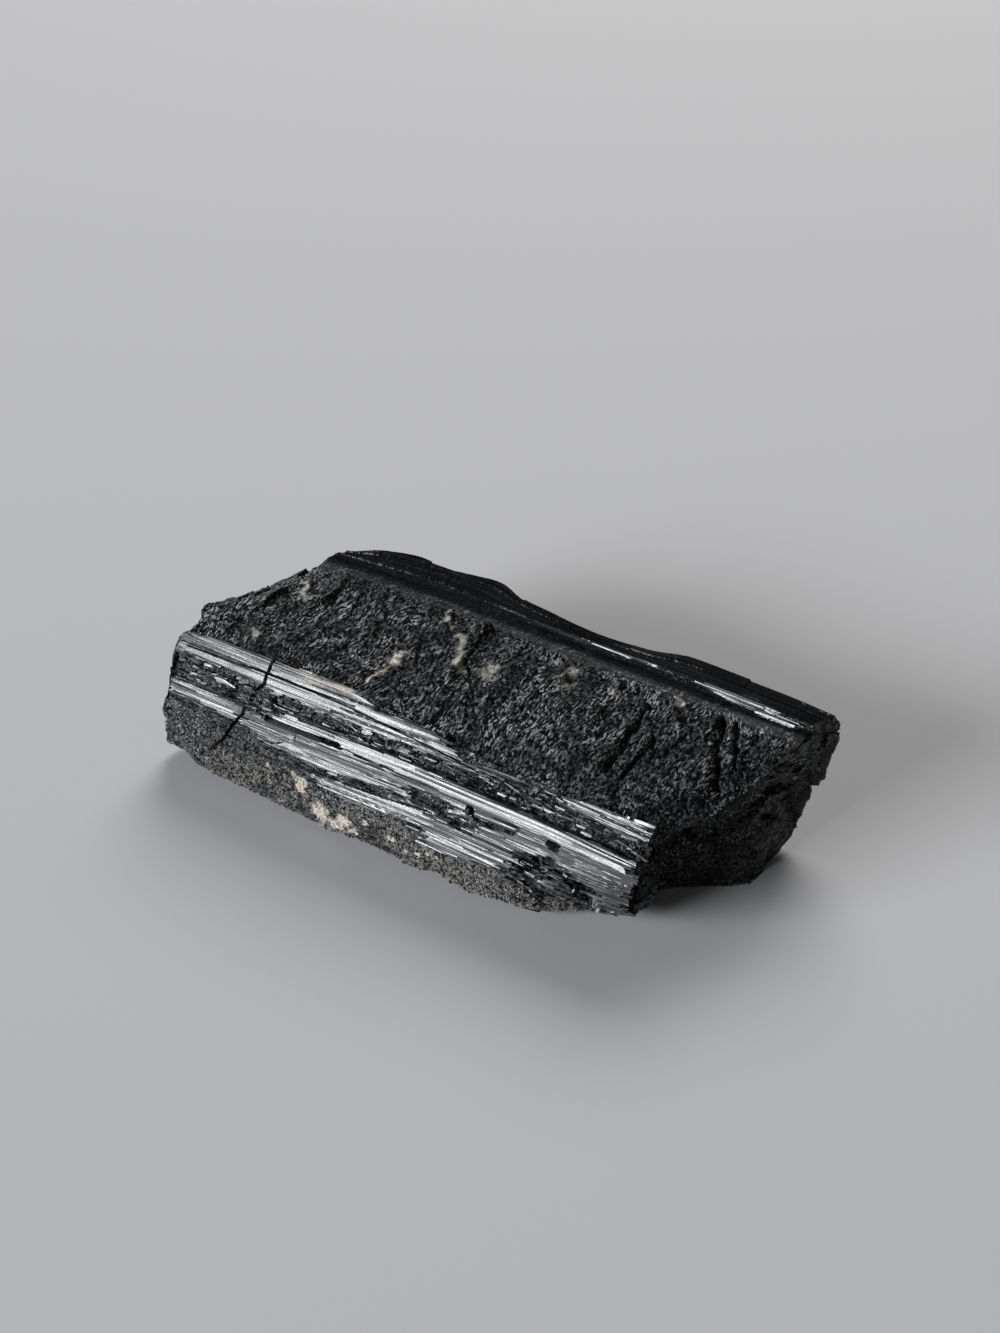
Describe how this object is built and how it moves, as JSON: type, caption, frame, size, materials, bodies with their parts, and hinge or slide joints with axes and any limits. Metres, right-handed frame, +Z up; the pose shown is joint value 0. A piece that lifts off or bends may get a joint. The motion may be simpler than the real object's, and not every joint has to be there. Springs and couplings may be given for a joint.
{
  "type": "tourmaline crystal",
  "caption": "Rough black tourmaline crystal: a broken length of a striated prism lying on its side, a loose mineral specimen for display.",
  "frame": {"origin": "centre of the bounding box in plan, at the level of the flat face it rests on", "axes": "+X along the crystal's length to its hollowed broken end, +Y from the striated front to the back, +Z up"},
  "size_m": [0.0864, 0.037, 0.023],
  "materials": {
    "black_tourmaline": "satin"
  },
  "bodies": {
    "root": {"tourmaline_crystal": "black_tourmaline"}
  },
  "joints": []
}
